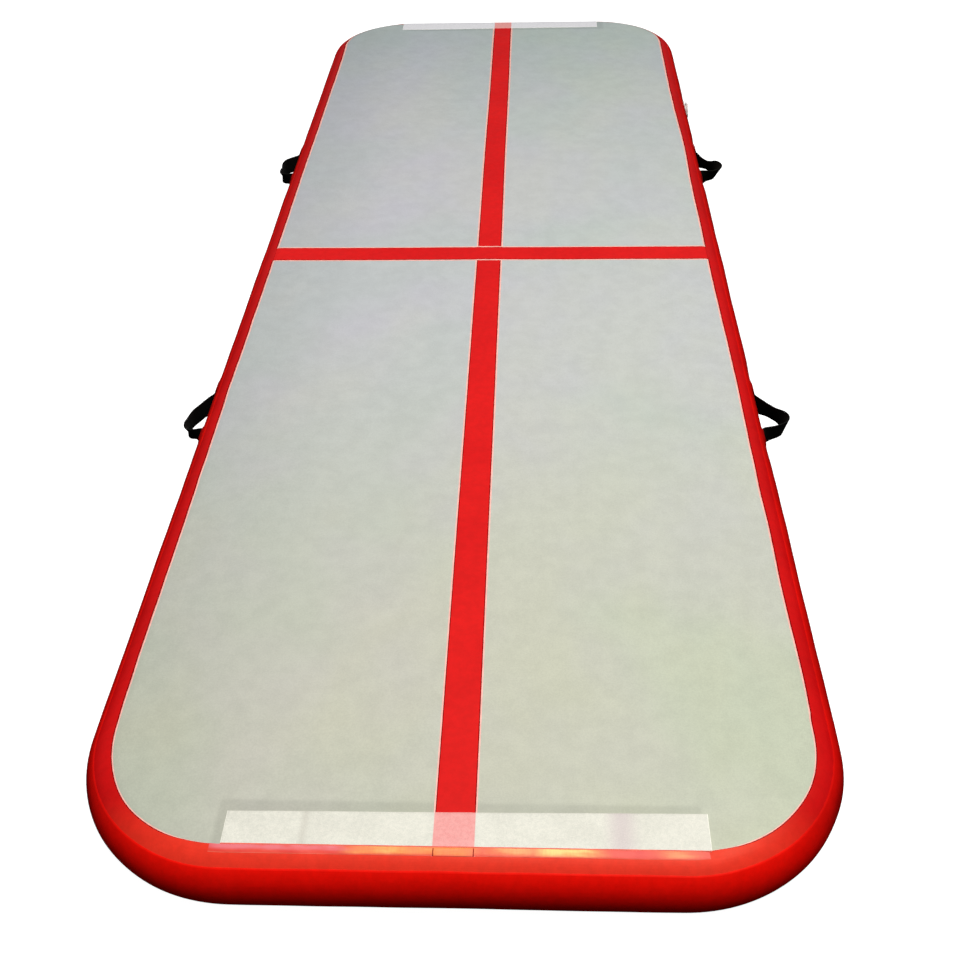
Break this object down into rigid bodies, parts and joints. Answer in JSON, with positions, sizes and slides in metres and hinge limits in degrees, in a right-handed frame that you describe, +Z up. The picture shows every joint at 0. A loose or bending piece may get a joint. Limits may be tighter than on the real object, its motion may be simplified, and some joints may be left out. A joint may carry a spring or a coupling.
{
  "type": "air track mat",
  "caption": "Inflatable gymnastics air mat: flat drop-stitch slab with rounded red edges, crossed floor stripes, webbing loop handles, joining strips and an air valve.",
  "frame": {"origin": "on the floor, under the middle of the mat", "axes": "+Z up, +Y along the mat to its rear end, +X across it to the side with the valve"},
  "size_m": [1.092, 2.9998, 0.1012],
  "materials": {
    "grey_skin": "satin, fine embossed texture",
    "inner_wall": "matte",
    "yarn": "polyester yarn",
    "red_tape": "satin",
    "red_band": "satin, faint weave",
    "red_film": "satin",
    "hook_strip": "translucent, fine hooks",
    "webbing": "ribbed webbing",
    "red_patch": "satin",
    "valve_plastic": "moulded",
    "stem_plastic": "moulded",
    "cap_plastic": "moulded",
    "seal": "matte",
    "spring_steel": "drawn wire"
  },
  "bodies": {
    "mat": {"top_skin": "grey_skin", "bottom_skin": "grey_skin", "inner_side_wall": "inner_wall", "drop_stitch_yarns": "yarn", "top_edge_tape": "red_tape", "bottom_edge_tape": "red_tape", "side_band": "red_band", "centre_stripe": "red_film", "cross_stripe": "red_film", "front_hook_strip": "hook_strip", "rear_hook_strip": "hook_strip", "left_front_handle_feet": "webbing", "left_front_handle_patches": "red_patch", "left_rear_handle_feet": "webbing", "left_rear_handle_patches": "red_patch", "right_front_handle_feet": "webbing", "right_front_handle_patches": "red_patch", "right_rear_handle_feet": "webbing", "right_rear_handle_patches": "red_patch", "valve_patch": "red_patch", "valve_body": "valve_plastic", "valve_nut": "valve_plastic", "valve_gasket": "seal"},
    "left_front_handle": {"left_front_handle_loop": "webbing"},
    "left_rear_handle": {"left_rear_handle_loop": "webbing"},
    "right_front_handle": {"right_front_handle_loop": "webbing"},
    "right_rear_handle": {"right_rear_handle_loop": "webbing"},
    "valve_spring": {"valve_spring": "spring_steel"},
    "valve_stem": {"valve_stem": "stem_plastic", "valve_diaphragm": "seal"},
    "cap_swivel": {"tether_ring": "cap_plastic", "tether_strap": "cap_plastic"},
    "valve_cap": {"valve_cap": "cap_plastic", "cap_gasket": "seal"}
  },
  "joints": [
    {"name": "left_front_handle_fold", "type": "hinge", "parent": "mat", "child": "left_front_handle", "pos_m": [-0.503, -0.52, 0.05], "axis": [0, 1, 0], "range_deg": [-40, 40]},
    {"name": "left_rear_handle_fold", "type": "hinge", "parent": "mat", "child": "left_rear_handle", "pos_m": [-0.503, 0.53, 0.05], "axis": [0, 1, 0], "range_deg": [-40, 40]},
    {"name": "right_front_handle_fold", "type": "hinge", "parent": "mat", "child": "right_front_handle", "pos_m": [0.503, -0.52, 0.05], "axis": [0, -1, 0], "range_deg": [-40, 40]},
    {"name": "right_rear_handle_fold", "type": "hinge", "parent": "mat", "child": "right_rear_handle", "pos_m": [0.503, 0.53, 0.05], "axis": [0, -1, 0], "range_deg": [-40, 40]},
    {"name": "stem_turn", "type": "hinge", "parent": "mat", "child": "valve_spring", "pos_m": [0.5, 0.887, 0.05], "axis": [-1, 0, 0], "range_deg": [0, 90]},
    {"name": "stem_push", "type": "slide", "parent": "valve_spring", "child": "valve_stem", "axis": [-1, 0, 0], "range_m": [0, 0.005], "stiffness_N_per_m": 600, "springref_m": -0.004, "deforming": ["valve_spring"]},
    {"name": "cap_turn", "type": "hinge", "parent": "mat", "child": "cap_swivel", "pos_m": [0.5, 0.887, 0.05], "axis": [1, 0, 0], "range_deg": [0, 90]},
    {"name": "cap_lift", "type": "slide", "parent": "cap_swivel", "child": "valve_cap", "axis": [1, 0, 0], "range_m": [0, 0.012], "deforming": ["tether_strap"]}
  ]
}
